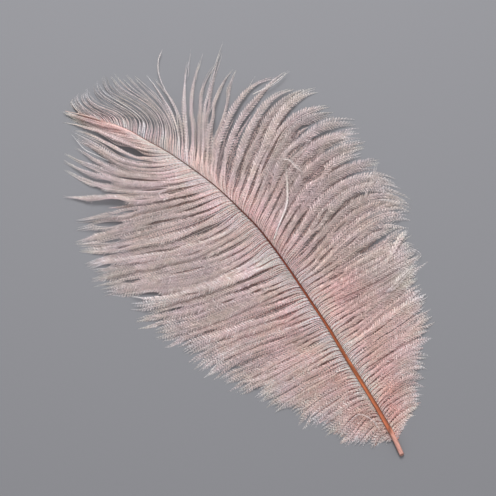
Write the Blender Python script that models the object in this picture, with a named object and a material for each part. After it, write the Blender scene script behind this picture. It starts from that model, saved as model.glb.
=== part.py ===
"""An ostrich feather that lies on a flat surface, as one closed solid: the shaft with its locks of barbs fused to it.

X runs along the feather from the quill to the tip, Y to its left vane, and Z up. The origin is the middle of the
feather's box, on the surface that it lies on. Blender's unit is the metre. The tables are in millimetres, as
measured from the middle of the quill's cut end.
"""

import math

import bmesh
import bpy
from mathutils import Vector

MM = 0.001
FEATHER = "feather"

# Where the quill's cut end is, from the middle of the feather's box (mm)
QUILL_END = (-152.86, 30.55)

# The shaft, from the quill's cut end to the tip: along, across, height of its middle, radius (mm)
SHAFT = (
    (0, 0, 1.5, 1.7),
    (10, -4, 2.3, 1.8),
    (26, -9, 4.2, 1.8),
    (46, -14, 6.3, 1.7),
    (69, -19, 8.4, 1.5),
    (88, -23.5, 9.9, 1.35),
    (110, -27.5, 11.2, 1.15),
    (130, -31, 12.0, 1.0),
    (147.5, -33.5, 12.4, 0.85),
    (164, -35, 12.5, 0.75),
    (182, -35, 12.2, 0.65),
    (201, -34.5, 11.5, 0.55),
    (218, -32, 10.5, 0.5),
    (236, -29, 9.2, 0.45),
    (253, -25, 7.8, 0.4),
    (265.5, -20.5, 6.7, 0.4),
    (276, -15, 5.7, 0.35),
    (289, -7.5, 4.5, 0.35),
    (300, -0.5, 3.4, 0.3),
)

# Each lock of barbs: its station along the shaft's own length, then where it is at one third, at two thirds and
# at its tip: along, across (mm)
LEFT_LOCKS = (
    (283, (283, -10), (291, -5), (299, 0)),
    (268, (272, -12), (284, -5), (296, 2)),
    (254, (261, -14), (276, -6), (292, 2)),
    (243, (250, -12), (271, -6), (290, 3)),
    (237, (246, -11), (267, -1), (289, 6)),
    (230, (241, -10), (263, 4), (288, 11)),
    (224, (236, -10), (258, 6), (281, 20)),
    (219, (230, -8), (252, 10), (278, 22)),
    (214, (225, -8), (247, 12), (272, 29)),
    (210, (221, -7), (242, 15), (266, 34)),
    (205, (216, -7), (236, 18), (255, 44)),
    (200, (211, -6), (228, 22), (247, 48)),
    (195, (206, -5), (223, 23), (237, 52)),
    (188, (197, -3), (213, 26), (234, 53)),
    (181, (186, -2), (204, 28), (223, 56)),
    (175, (180, -1), (198, 29), (219, 59)),
    (169, (176, -1), (194, 31), (212, 63)),
    (160, (165, 1), (183, 32), (204, 61)),
    (151, (156, 0), (175, 30), (200, 55)),
    (141, (151, -3), (165, 26), (183, 53)),
    (134, (143, 0), (158, 30), (175, 60)),
    (126, (135, -1), (147, 29), (161, 57)),
    (119, (129, -2), (140, 26), (152, 54)),
    (111, (118, -1), (131, 24), (141, 50)),
    (101, (110, 0), (121, 27), (128, 54)),
    (95, (102, 1), (113, 26), (120, 51)),
    (89, (94, 1), (101, 25), (107, 49)),
    (80, (85, 0), (91, 22), (99, 43)),
    (73, (78, -1), (84, 19), (88, 39)),
    (65, (69, 1), (75, 20), (79, 39)),
    (57, (62, -1), (67, 16), (71, 33)),
    (49, (55, -1), (59, 15), (60, 31)),
    (42, (47, 0), (50, 14), (52, 28)),
    (35, (39, 1), (40, 13), (40, 26)),
    (28, (33, 0), (32, 12), (32, 24)),
    (21, (24, -1), (25, 8), (23, 17)),
    (14, (17, -1), (17, 5), (16, 11)),
)
RIGHT_LOCKS = (
    (299, (294, -7), (298, -7), (302, -9)),
    (290, (290, -11), (299, -14), (306, -19)),
    (280, (284, -18), (294, -18), (304, -22)),
    (271, (278, -24), (291, -23), (303, -26)),
    (262, (270, -31), (286, -29), (301, -30)),
    (253, (263, -36), (281, -36), (299, -37)),
    (243, (255, -42), (276, -44), (297, -45)),
    (237, (248, -43), (267, -47), (288, -46)),
    (231, (245, -45), (267, -55), (284, -70)),
    (227, (240, -46), (257, -60), (271, -77)),
    (222, (234, -47), (250, -63), (263, -81)),
    (218, (234, -50), (251, -71), (261, -96)),
    (213, (226, -48), (240, -67), (245, -90)),
    (208, (222, -52), (234, -75), (243, -99)),
    (202, (213, -54), (223, -76), (232, -99)),
    (197, (208, -60), (219, -87), (221, -116)),
    (191, (200, -60), (211, -87), (211, -115)),
    (185, (196, -63), (206, -94), (199, -124)),
    (177, (186, -64), (195, -95), (185, -124)),
    (170, (178, -64), (183, -94), (170, -122)),
    (163, (169, -64), (174, -94), (161, -122)),
    (156, (162, -63), (165, -93), (152, -121)),
    (149, (154, -62), (155, -92), (143, -119)),
    (142, (144, -63), (143, -93), (120, -112)),
    (134, (131, -62), (130, -92), (108, -111)),
    (126, (120, -56), (118, -83), (105, -106)),
    (117, (109, -52), (103, -76), (98, -100)),
    (108, (100, -50), (93, -73), (87, -97)),
    (99, (91, -48), (85, -71), (82, -95)),
    (91, (84, -46), (80, -68), (80, -90)),
    (83, (77, -43), (75, -65), (71, -86)),
    (75, (70, -41), (67, -62), (61, -83)),
    (68, (64, -39), (61, -59), (56, -78)),
    (61, (57, -36), (53, -55), (48, -73)),
    (54, (51, -32), (48, -49), (41, -64)),
    (47, (44, -29), (43, -43), (34, -56)),
    (40, (38, -26), (37, -40), (27, -49)),
    (33, (32, -22), (30, -33), (22, -41)),
    (26, (25, -19), (23, -28), (17, -36)),
    (20, (19, -16), (18, -25), (12, -31)),
    (14, (14, -11), (15, -18), (13, -24)),
    (9, (10, -7), (12, -11), (12, -15)),
)

# Form of a lock: where it is measured (share of its length), and its width there as a share of the full width
LOCK_SHARES = (0.0, 0.2, 0.42, 0.64, 0.84, 1.0)
LOCK_WIDTHS = (0.95, 1.00, 1.00, 0.95, 0.62, 0.10)
LOCK_OVERLAP = 1.25  # full width of a lock, as a share of the distance to its neighbours
LOCK_WIDTH_LEAST = 1.7  # mm
LOCK_WIDTH_MOST = 13.0  # mm
LOCK_FLATNESS = 0.28  # a lock's thickness as a share of its width
SIDES_OF_A_LOCK = 1  # bevel resolution 1 gives a tube of 6 sides
SIDES_OF_THE_SHAFT = 2  # and 2 one of 8

# Height of a lock's top, for every four locks in turn (mm). It leaves the shaft near the shaft's top. Every other
# lock comes down to the surface and lies on it, and those between them arch over their neighbours
ROOT_ABOVE_SHAFT_MIDDLE = 0.5  # share of the shaft's radius
TIP_TOPS = (0.35, 2.4, 0.35, 1.6)
CRESTS = (-0.2, 2.6, -0.2, 1.8)  # how far its middle is above a straight line from its root to its tip

FLOOR_SIDE = 500.0  # mm, the block that cuts the underside flat
FLOOR_DEPTH = 30.0  # mm
SPACING_STEPS = 16  # points along a neighbour, to find its nearest
WELD_DISTANCE = 0.001  # mm
FEATHER_COLOUR = (0.58, 0.43, 0.40, 1.0)
FEATHER_ROUGHNESS = 0.85


def clear_the_scene():
    for item in list(bpy.data.objects):
        bpy.data.objects.remove(item, do_unlink=True)


def new_collection(name, hidden):
    made = bpy.data.collections.new(name)
    bpy.context.scene.collection.children.link(made)
    made.hide_render = hidden
    return made


def new_material():
    made = bpy.data.materials.new("blush barbs")
    made.use_nodes = True
    shader = made.node_tree.nodes["Principled BSDF"]
    shader.inputs["Base Color"].default_value = FEATHER_COLOUR
    shader.inputs["Roughness"].default_value = FEATHER_ROUGHNESS
    shader.inputs["Metallic"].default_value = 0.0
    return made


def shaft_stations():
    """How far along the shaft's own length each of its points lies (mm)."""
    stations = [0.0]
    for a, b in zip(SHAFT, SHAFT[1:]):
        stations.append(stations[-1] + math.dist(a[:2], b[:2]))
    return stations


def on_the_shaft(station):
    """(point of the middle line, radius) at a station, in mm."""
    stations = shaft_stations()
    for i, (start, end) in enumerate(zip(stations, stations[1:])):
        if station <= end or end == stations[-1]:
            share = (station - start) / (end - start)
            mixed = [a + (b - a) * share for a, b in zip(SHAFT[i], SHAFT[i + 1])]
            return Vector(mixed[:3]), mixed[3]


def lock_point(lock, share):
    """A lock's middle line in plan: the cubic through its root, third, two thirds and tip."""
    station, third, two_thirds, tip = lock
    root = on_the_shaft(station)[0]
    known = (root.to_2d(), Vector(third), Vector(two_thirds), Vector(tip))
    places = (0.0, 1 / 3, 2 / 3, 1.0)
    point = Vector((0.0, 0.0))
    for i, at in enumerate(known):
        weight = 1.0
        for j, place in enumerate(places):
            if j != i:
                weight *= (share - place) / (places[i] - place)
        point += at * weight
    return point


def spacing(locks, number, share):
    """Mean distance from a lock's middle line to its neighbours' (mm)."""
    here = lock_point(locks[number], share)
    beside = [locks[i] for i in (number - 1, number + 1) if 0 <= i < len(locks)]
    gaps = []
    for other in beside:
        along = [lock_point(other, step / SPACING_STEPS) for step in range(SPACING_STEPS + 1)]
        gaps.append(min((point - here).length for point in along))
    return sum(gaps) / len(gaps)


def new_tube(name, points, radii, sides, flatness):
    """A closed mesh tube through points, its height scaled by flatness about each point (mm)."""
    data = bpy.data.curves.new(name, "CURVE")
    data.dimensions = "3D"
    data.bevel_depth = 1.0
    data.bevel_resolution = sides
    data.use_fill_caps = True
    data.twist_mode = "Z_UP"
    spline = data.splines.new("POLY")
    spline.points.add(len(points) - 1)
    for knot, point, radius in zip(spline.points, points, radii):
        x = (point.x + QUILL_END[0]) * MM
        y = (point.y + QUILL_END[1]) * MM
        knot.co = (x, y, point.z * MM / flatness, 1.0)
        knot.radius = radius * MM
    curve = bpy.data.objects.new(name, data)
    curve.scale.z = flatness
    bpy.context.scene.collection.objects.link(curve)
    evaluated = curve.evaluated_get(bpy.context.evaluated_depsgraph_get())
    mesh = bpy.data.meshes.new_from_object(evaluated)
    mesh.transform(curve.matrix_world)
    bpy.data.objects.remove(curve, do_unlink=True)
    weld(mesh)
    return bpy.data.objects.new(name, mesh)


def weld(mesh):
    """Joins the tube's loose caps to its wall."""
    work = bmesh.new()
    work.from_mesh(mesh)
    bmesh.ops.remove_doubles(work, verts=work.verts, dist=WELD_DISTANCE * MM)
    bmesh.ops.recalc_face_normals(work, faces=work.faces)
    work.to_mesh(mesh)
    work.free()


def new_shaft():
    points = [Vector(row[:3]) for row in SHAFT]
    return new_tube(FEATHER, points, [row[3] for row in SHAFT], SIDES_OF_THE_SHAFT, 1.0)


def new_lock(name, locks, number):
    """One pointed lock, from inside the shaft down to the surface."""
    station = locks[number][0]
    root, shaft_radius = on_the_shaft(station)
    root_top = root.z + ROOT_ABOVE_SHAFT_MIDDLE * shaft_radius
    tip_top = TIP_TOPS[number % len(TIP_TOPS)]
    crest = CRESTS[number % len(CRESTS)]
    points = []
    radii = []
    for share, width_share in zip(LOCK_SHARES, LOCK_WIDTHS):
        width = LOCK_OVERLAP * spacing(locks, number, share)
        width = min(max(width, LOCK_WIDTH_LEAST), LOCK_WIDTH_MOST) * width_share
        top = root_top + (tip_top - root_top) * share + crest * 4 * share * (1 - share)
        plan = lock_point(locks[number], share)
        points.append(Vector((plan.x, plan.y, top - LOCK_FLATNESS * width / 2)))
        radii.append(width / 2)
    return new_tube(name, points, radii, SIDES_OF_A_LOCK, LOCK_FLATNESS)


def new_floor():
    """The block under the surface, which cuts the feather's underside flat."""
    bpy.ops.mesh.primitive_cube_add(size=1.0)
    floor = bpy.context.active_object
    floor.name = "floor"
    floor.scale = (FLOOR_SIDE * MM, FLOOR_SIDE * MM, FLOOR_DEPTH * MM)
    floor.location.z = -FLOOR_DEPTH * MM / 2
    return floor


def move_to(item, collection):
    for owner in list(item.users_collection):
        owner.objects.unlink(item)
    collection.objects.link(item)
    item.display_type = "WIRE"


def add_boolean(item, name, operation):
    made = item.modifiers.new(name, "BOOLEAN")
    made.operation = operation
    made.solver = "EXACT"
    return made


def build():
    clear_the_scene()
    parts = new_collection("ostrich feather", False)
    locks = new_collection("locks", True)
    cutters = new_collection("cutters", True)

    feather = new_shaft()
    parts.objects.link(feather)
    feather.data.materials.append(new_material())

    for side, table in (("left", LEFT_LOCKS), ("right", RIGHT_LOCKS)):
        for number in range(len(table)):
            locks.objects.link(new_lock(f"{side} lock {number}", table, number))
    floor = new_floor()
    move_to(floor, cutters)

    union = add_boolean(feather, "locks grown to the shaft", "UNION")
    union.operand_type = "COLLECTION"
    union.collection = locks
    cut = add_boolean(feather, "flat underside", "DIFFERENCE")
    cut.object = floor


build()
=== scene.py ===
"""The looks of the ostrich feather: its shaft, its barbs with their barbules, a plain floor, soft light and a camera.

As in the part's source, the tables are in millimetres from the middle of the quill's cut end: first along the
feather, then across it towards its left vane. Meshes are worked out in those millimetres and built in metres.
"""

import math

import bpy
import numpy as np
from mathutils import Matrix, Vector


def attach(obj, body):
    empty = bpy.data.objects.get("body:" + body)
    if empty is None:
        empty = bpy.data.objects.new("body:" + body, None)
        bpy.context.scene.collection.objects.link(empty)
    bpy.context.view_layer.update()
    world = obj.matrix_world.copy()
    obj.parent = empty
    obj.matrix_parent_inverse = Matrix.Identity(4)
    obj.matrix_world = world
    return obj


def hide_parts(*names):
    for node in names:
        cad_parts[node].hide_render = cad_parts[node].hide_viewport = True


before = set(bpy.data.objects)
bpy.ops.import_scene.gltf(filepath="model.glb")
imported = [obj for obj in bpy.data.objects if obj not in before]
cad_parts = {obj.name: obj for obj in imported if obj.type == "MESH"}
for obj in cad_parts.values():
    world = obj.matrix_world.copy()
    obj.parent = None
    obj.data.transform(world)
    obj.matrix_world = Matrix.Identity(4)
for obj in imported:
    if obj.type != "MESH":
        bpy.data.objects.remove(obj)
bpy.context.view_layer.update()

MM = 0.001
CAD_NODE = "feather"
BODY = "root"

# Where the quill's cut end is, from the middle of the feather's box (mm)
QUILL_END = (-152.86, 30.55)

# The shaft, from the quill's cut end to the tip: along, across, height of its middle, radius (mm)
SHAFT = (
    (0, 0, 1.5, 1.7),
    (10, -3.7, 2.3, 1.8),
    (26, -8.2, 4.2, 1.8),
    (46, -13.1, 6.3, 1.7),
    (69, -18.1, 8.4, 1.5),
    (88, -22.8, 9.9, 1.35),
    (110.2, -27, 11.2, 1.15),
    (130.2, -30.7, 12.0, 1.0),
    (147.6, -33.5, 12.4, 0.85),
    (164, -35.3, 12.5, 0.75),
    (182, -35.3, 12.2, 0.65),
    (201, -34.5, 11.5, 0.55),
    (218, -32, 10.5, 0.5),
    (235.8, -28.5, 9.2, 0.45),
    (252.6, -23.6, 7.8, 0.4),
    (265.3, -19.8, 6.7, 0.4),
    (275.6, -14.5, 5.7, 0.35),
    (289, -7.5, 4.5, 0.35),
    (300, -0.5, 3.4, 0.3),
)

# Each lock of barbs: its station along the shaft's own length, then where it is at one third, at two thirds and
# at its tip: along, across (mm)
LEFT_LOCKS = (
    (283, (287, -7.5), (293, -3), (300, 0)),
    (268, (276.5, -12), (287, -6), (299.5, 0.5)),
    (251, (262, -15.2), (279, -7), (298, 1.5)),
    (241, (256, -14.6), (275.5, -6.6), (295, 3.5)),
    (234.5, (247.5, -12.5), (267, -6), (287, 1.5)),
    (230, (243, -11), (262, -1.8), (285.5, 4)),
    (226, (240, -8.5), (261.5, 1), (284, 6.8)),
    (222, (237, -7), (259, 4.8), (284, 10)),
    (218, (233.5, -7), (256, 8), (284, 19.5)),
    (214, (229.5, -7), (251, 11), (281, 23)),
    (210.5, (225.5, -7), (246.5, 13), (274, 29)),
    (207, (221, -7), (241.5, 15.5), (266, 34)),
    (203.5, (215.5, -6.5), (235, 18.5), (255, 44)),
    (200, (211, -6), (228, 22), (247, 48)),
    (195, (206, -5), (223, 23), (237, 52)),
    (188, (197, -3), (213, 26), (234, 53)),
    (181, (186, -2), (204, 28), (223, 56)),
    (175, (180, -1), (198, 29), (219, 59)),
    (169, (176, -1), (194, 31), (212, 63)),
    (160, (165, 1), (183, 32), (204, 61)),
    (151, (156, 0), (175, 30), (200, 55)),
    (141, (151, -3), (165, 26), (183, 53)),
    (134, (143, 0), (158, 30), (175, 60)),
    (126, (135, -1), (147, 29), (161, 57)),
    (119, (129, -2), (140, 26), (152, 54)),
    (111, (118, -1), (131, 24), (141, 50)),
    (101, (110, 0), (121, 27), (128, 54)),
    (95, (102, 1), (113, 26), (120, 51)),
    (89, (94, 1), (101, 25), (107, 49)),
    (80, (85, 0), (91, 22), (99, 43)),
    (73, (78, -1), (84, 19), (88, 39)),
    (65, (69, 1), (75, 20), (79, 39)),
    (57, (62, -1), (67, 16), (71, 33)),
    (49, (55, -1), (59, 15), (60, 31)),
    (42, (47, 0), (50, 14), (52, 28)),
    (35, (39, 1), (40, 13), (40, 26)),
    (28, (33, 0), (32, 12), (32, 24)),
    (21, (24, -1), (25, 8), (23, 17)),
    (14, (16.5, -1.5), (17, 4), (16, 9)),
    (9, (11, -2.5), (12, -0.5), (12, 2)),
)
RIGHT_LOCKS = (
    (299, (293, -6.5), (298, -6.5), (303, -8)),
    (290, (288, -10.5), (296, -9.5), (304, -12)),
    (280, (281, -17), (292, -13.5), (303, -16)),
    (271, (275, -23), (289, -18), (303, -20)),
    (262, (267, -30), (284, -26), (300, -25)),
    (253, (261, -35.5), (280, -32), (299, -30)),
    (243, (255, -41), (274, -40.5), (294, -36)),
    (237, (249, -42.5), (268, -46), (288, -45)),
    (231, (245, -45), (262, -51), (279, -53)),
    (227, (241, -47.5), (257, -61.5), (269, -77)),
    (222.5, (236, -50), (251, -64), (263, -81)),
    (220, (232, -49), (247, -63.5), (257, -87)),
    (216, (230, -52), (246, -72), (261.5, -97.5)),
    (211.5, (225, -50), (239, -69), (245, -91)),
    (207, (221, -52), (234, -73), (242, -94)),
    (202, (217, -52), (228, -80), (224, -106)),
    (198, (212, -54), (222, -82), (221, -113)),
    (194, (206, -57), (217, -86), (213, -111)),
    (189.5, (200, -60), (210, -91), (205, -120)),
    (185, (196, -63), (206, -94), (199, -124)),
    (177, (186, -64), (195, -95), (185, -124)),
    (170, (178, -64), (183, -94), (170, -122)),
    (163, (169, -64), (174, -94), (161, -122)),
    (156, (162, -63), (165, -93), (152, -121)),
    (149, (154, -62), (155, -92), (143, -119)),
    (142, (144, -63), (143, -93), (120, -112)),
    (134, (131, -62), (130, -92), (108, -111)),
    (126, (120, -56), (118, -83), (105, -106)),
    (117, (109, -52), (103, -76), (98, -100)),
    (108, (100, -50), (93, -73), (87, -97)),
    (99, (91, -48), (85, -71), (82, -95)),
    (91, (84, -46), (80, -68), (80, -90)),
    (83, (77, -43), (75, -65), (71, -86)),
    (75, (70, -41), (67, -62), (61, -83)),
    (68, (64, -39), (61, -59), (56, -78)),
    (61, (57, -36), (53, -55), (48, -73)),
    (54, (51, -32), (48, -49), (41, -64)),
    (47, (44, -29), (43, -43), (34, -56)),
    (40, (38, -26), (37, -40), (27, -49)),
    (33, (32, -22), (30, -33), (22, -41)),
    (26, (25, -19), (23, -28), (17, -36)),
    (20, (19, -16), (18, -25), (12, -31)),
    (14, (14, -11), (15, -18), (13, -24)),
    (9, (10, -7), (12, -11), (12, -15)),
)
# Height of a lock's top, for every four locks in turn (mm)
TIP_TOPS = (0.35, 2.4, 0.35, 1.6)
CRESTS = (-0.2, 2.6, -0.2, 1.8)

# Gaps that show between the barbs: half the width, whether the floor shows in it, points along it (along, across, mm)
LEFT_GAPS = (
    (2.1, True, ((243.6, -17.8), (247.5, -15), (252, -12.9), (258, -10.5), (266, -7.4))),
    (0.9, True, ((256, -11.3), (265.1, -7.6), (274.1, -5), (280, -2.8), (285, -0.5))),
    (0.5, True, ((238.2, -22), (241.4, -16.8), (246.4, -11.7), (250.7, -9.2), (257.2, -5.5), (264.3, -2.8), (270.4, -1.2))),
    (0.9, True, ((254.5, -0.5), (261, 2.6), (267.5, 4.4), (273.5, 5.3), (278, 5.7))),
    (0.5, False, ((254, 9.5), (246.5, 4), (238.5, -2.5), (229.5, -10.5), (222.5, -19))),
    (0.7, True, ((258.5, 19), (252, 13), (244.5, 7))),
    (0.8, True, ((254.5, 23), (249, 16))),
    (1.8, True, ((249.5, 28), (239, 18), (230.5, 8.5))),
    (0.4, False, ((230.5, 8.5), (223, -2))),
    (0.9, False, ((237.5, 28.5), (230.5, 20.5), (226, 13.5), (222.5, 7))),
    (1.4, True, ((239, 38), (230.5, 29.5), (223.5, 21))),
    (0.5, False, ((232.5, 1.5), (225.5, -6.5), (218, -17.5))),
    (0.6, False, ((215, 13.5), (211.5, 7.5), (205, -1), (199.5, -12.5))),
    (0.4, False, ((213, -2), (208.5, -11), (205.5, -18.5))),
    (0.7, False, ((207.5, 29), (200.5, 22), (193, 13.5), (190.5, 9.5), (188, 1.5))),
    (0.5, False, ((229, 44), (220.5, 34), (216, 27))),
    (0.8, False, ((217.5, 39), (215, 33.5), (210.5, 26))),
    (0.5, False, ((204.5, 37), (198.5, 30.5))),
    (0.4, False, ((200.5, 41), (194.5, 32))),
    (0.9, True, ((218, 54.5), (214, 49), (210, 41.5))),
    (0.4, False, ((185, 13), (180, 2), (179, -3.5))),
    (0.4, False, ((184.5, 26.5), (175, 13.5), (169, 2))),
    (0.9, False, ((199, 50.5), (197, 45.5), (189, 40))),
    (0.5, False, ((166.5, 10), (165, 5.5))),
    (0.5, False, ((169.5, 29), (164, 22.5), (157, 14.5))),
    (1.5, True, ((187.5, 50), (181.5, 41.5), (176.5, 35.5))),
    (0.6, False, ((172.5, 50.5), (164, 36), (160, 30))),
    (0.4, False, ((158.5, 44), (152, 31.5))),
    (0.5, False, ((148, 16), (141.5, 2.5))),
    (0.5, False, ((143, 35), (135.5, 25))),
    (0.5, False, ((134.5, 37.5), (129, 27.5), (125, 22.5))),
    (0.5, False, ((133, -8.5), (130.5, -16))),
    (0.4, False, ((145.5, -10), (142, -18.5))),
    (0.4, False, ((138.5, -4), (135, -13))),
    (0.4, False, ((125.5, 9.5), (120.5, -6), (117.5, -18))),
    (0.5, False, ((115.5, -2.5), (112.5, -9), (109.5, -19))),
    (0.4, False, ((94, -6), (91.5, -11))),
    (0.4, False, ((90.5, -5), (88, -15.5))),
    (0.4, False, ((95, 21), (92.5, 14))),
    (0.4, False, ((85, 19), (81, 13))),
    (0.4, False, ((104, 34), (102, 28.5))),
    (0.35, False, ((66.5, -5), (63.5, -12.5))),
)
RIGHT_GAPS = (
    (1.0, True, ((236.5, -52), (244, -59.5), (248.5, -67.5))),
    (0.5, False, ((236.5, -60.5), (244, -70.5))),
    (0.8, True, ((230, -57), (234.5, -62.5), (238, -68.5))),
    (1.6, True, ((221.5, -53), (227.5, -61), (232.5, -71.5), (235, -82.5))),
    (0.7, False, ((212, -51), (219.5, -65), (223, -74.5), (223.5, -81))),
    (0.9, False, ((222.5, -83.5), (225.5, -89), (225, -96.5))),
    (0.7, False, ((201.5, -56.5), (204, -65.5), (206, -75.5), (210, -83))),
    (0.8, False, ((194, -50), (196.5, -60), (199, -69.5), (203.5, -78.5), (206.5, -87), (209, -94.5))),
    (0.6, False, ((188, -56), (190.5, -66), (193, -76), (196, -84), (199.5, -94.5))),
    (1.0, False, ((189, -85.5), (189.5, -89.5), (190, -97.5), (192, -102.5))),
    (2.1, False, ((181, -74.5), (182, -78), (182.5, -84), (181, -91), (179, -97))),
    (0.8, False, ((174, -53.5), (178, -59), (181.5, -66))),
    (1.9, False, ((172.5, -79.5), (172, -86.5), (167.5, -93))),
    (0.6, False, ((167.5, -67), (169, -69), (170, -74))),
    (2.6, False, ((163.5, -71), (164.5, -76.5), (162, -83.5), (157.5, -91.5))),
    (0.4, False, ((160.5, -44), (164, -53))),
    (0.9, False, ((137.5, -55.5), (140, -64.5), (142.5, -71), (143.5, -78))),
    (0.5, False, ((142, -53), (145, -61))),
    (0.8, False, ((135.5, -66.5), (136.5, -72.5), (137, -80), (134.5, -89.5))),
    (0.6, False, ((138, -92), (134, -96.5), (133, -99))),
    (0.6, False, ((134, -37), (134, -42.5), (133.5, -54))),
    (0.8, False, ((129.5, -63), (129, -72), (129, -80.5))),
    (0.9, False, ((123.5, -45), (123, -52), (124, -62.5))),
    (0.5, False, ((118, -62.5), (117.5, -71), (117.5, -77))),
    (0.7, False, ((113, -80.5), (113, -84), (111.5, -86.5), (107.5, -89))),
    (2.5, False, ((110.5, -66), (107.5, -72.5), (107, -78), (104.5, -84.5), (104.5, -89.5))),
    (0.6, True, ((117, -100), (111.5, -104.5), (111.5, -107.5))),
    (0.5, False, ((110, -41.5), (107, -55.5))),
    (0.5, False, ((96, -89.5), (97.5, -95))),
    (0.5, False, ((85, -30.5), (83, -41))),
    (0.5, False, ((80, -35), (77.5, -43))),
    (0.4, False, ((48, -30.5), (46, -39))),
    (0.5, False, ((42, -21), (44, -30))),
)
GAP_REACH = 3.5  # how far from a gap the barbs still give way

# Loose barbs that lie over the vanes: how many together, half the width, barbules' length, how white (0 to 1), how
# thick, points along them: along, across, height (mm)
LOOSE = (
    (1, 0.0, 0.5, 0.8, 0.9, ((238, -38, 9), (251.5, -49.5, 8), (272.5, -56.5, 4), (281.5, -63, 3), (285, -70.5, 3))),
    (4, 0.45, 0.4, 0.75, 0.9, ((152, -37, 12.4), (157, -46.5, 12.6), (161.5, -56.5, 12.5), (167, -63.5, 12), (180, -74.5, 10.8))),
    (3, 0.5, 0.3, 0.75, 0.9, ((184, -76, 10.6), (180, -78.5, 10.6), (173, -78.5, 10.2), (169.5, -79, 9.6))),
    (4, 1.0, 1.6, 0.2, 0.7, ((92, -70, 4.5), (94, -79.5, 4.5), (96, -88, 4.2), (98, -94, 4), (98, -100.5, 3.5))),
    (2, 0.5, 0.7, 0.35, 0.6, ((131, -95, 5), (134, -101, 4.5), (136, -107, 4), (142, -117.5, 3))),
    (3, 0.6, 0.4, 0.7, 0.7, ((124, -101, 4), (121.5, -104, 4), (116.5, -107, 3), (108, -111, 2))),
    (2, 0.7, 0.3, 0.6, 0.45, ((92, -86, 4), (93.5, -93.5, 4), (91, -95.5, 3.5), (87.5, -97, 3))),
    (2, 0.7, 0.3, 0.6, 0.45, ((91, -86, 4), (90, -93, 4), (85, -95.5, 3.5), (81.5, -95, 3), (82.5, -92, 3))),
    (2, 0.6, 1.6, 0.3, 0.7, ((80.5, -64, 5), (79, -70, 5), (80, -90, 3))),
    (1, 0.0, 0.3, 0.9, 1.0, ((259, 2, 5), (268.5, 5.5, 4), (276, 7.5, 3), (287, 7, 2))),
    (1, 0.0, 0.2, 0.8, 0.7, ((250, -77, 4), (256, -88, 4), (262, -101, 3))),
    (1, 0.0, 0.2, 0.9, 0.9, ((228, -87, 4), (230, -91, 4), (233, -100, 3))),
    (2, 0.4, 0.4, 0.8, 0.9, ((226, -91, 4), (221.5, -104, 4), (220.5, -118, 3))),
    (1, 0.0, 0.5, 0.6, 0.9, ((21, -1.5, 5), (29, -2.5, 5.5), (38, 1.5, 5), (38.5, 13.5, 3))),
    (1, 0.0, 0.2, 0.7, 0.7, ((262, -70, 3), (267, -76, 3), (273, -83, 3))),
    (1, 0.0, 0.2, 0.7, 0.7, ((257, -72, 3), (261, -78, 3), (266, -87, 3))),
)

# How the barbs keep together, along the shaft: station, how many make a strand, how far the strands of a lock close
# up (0 to 1), half the width of a strand, how far its end curls aside, how far its end hooks away from the feather's
# tip, length of the barbules (mm), the share of it that they have near the shaft, how thick the barbs are, the share
# of a barb's length at which its strand has come together, how far apart the barbs leave the shaft, how much the
# barbules shorten at a barb's end, and how far out the lower barbs reach
LEFT_HABITS = (
    (0, 2.2, 0.00, 0.80, 0.5, 0.0, 2.0, 0.35, 1.0, 0.50, 1.05, 0.60, 0.92),
    (60, 2.6, 0.00, 1.10, 0.6, 0.0, 2.3, 0.26, 1.0, 0.55, 1.05, 0.60, 0.90),
    (110, 3.6, 0.10, 1.50, 1.0, 0.0, 2.6, 0.16, 1.0, 0.50, 1.05, 0.75, 0.80),
    (170, 4.6, 0.25, 1.80, 1.2, 0.0, 2.7, 0.20, 1.0, 0.50, 1.00, 0.80, 0.80),
    (212, 4.0, 0.35, 1.40, 1.0, 0.0, 2.4, 0.35, 1.0, 0.50, 1.00, 0.85, 0.70),
    (228, 3.4, 0.55, 0.80, 0.8, 0.0, 1.7, 0.60, 0.9, 0.55, 0.95, 0.85, 0.40),
    (243, 3.0, 0.50, 0.60, 0.6, 0.0, 1.3, 0.70, 0.9, 0.60, 0.95, 0.85, 0.25),
    (258, 3.0, 0.20, 0.55, 0.5, 0.0, 1.1, 0.80, 0.9, 0.60, 0.90, 0.85, 0.60),
    (300, 2.4, 0.00, 0.35, 0.5, 0.0, 1.0, 0.80, 0.8, 0.80, 0.90, 0.85, 0.60),
)
RIGHT_HABITS = (
    (0, 2.0, 0.00, 0.80, 0.5, 0.0, 2.0, 0.32, 1.0, 0.50, 1.05, 0.60, 0.92),
    (60, 2.6, 0.00, 1.10, 0.8, 0.0, 2.4, 0.22, 1.0, 0.55, 1.05, 0.60, 0.92),
    (100, 3.0, 0.00, 1.45, 1.4, 0.0, 2.8, 0.18, 1.0, 0.55, 1.05, 0.65, 0.88),
    (130, 3.8, 0.28, 1.80, 2.2, 0.0, 3.0, 0.14, 1.0, 0.50, 1.00, 0.70, 0.76),
    (160, 4.0, 0.42, 1.80, 1.8, 0.0, 3.0, 0.14, 1.0, 0.50, 1.00, 0.75, 0.78),
    (185, 4.0, 0.52, 1.50, 1.2, 0.0, 2.7, 0.14, 1.0, 0.45, 1.00, 0.80, 0.76),
    (200, 4.0, 0.60, 1.05, 0.8, 0.0, 2.1, 0.16, 1.0, 0.40, 1.00, 0.85, 0.62),
    (228, 4.0, 0.85, 0.50, 0.6, 0.0, 1.4, 0.30, 1.0, 0.36, 0.95, 0.85, 0.45),
    (234, 3.0, 0.30, 0.32, 0.5, 0.0, 0.6, 0.60, 0.9, 0.40, 0.80, 0.85, 0.45),
    (245, 3.0, 0.00, 0.25, 0.4, 3.0, 0.35, 1.20, 0.9, 0.40, 0.75, 0.85, 0.45),
    (300, 2.4, 0.00, 0.15, 0.4, 3.0, 0.35, 1.20, 0.8, 0.40, 0.80, 0.85, 0.35),
)
IN_STRAND, CLOSING, HALF_WIDTH, CURL, HOOK, BARBULE_LENGTH = range(1, 7)
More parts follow.
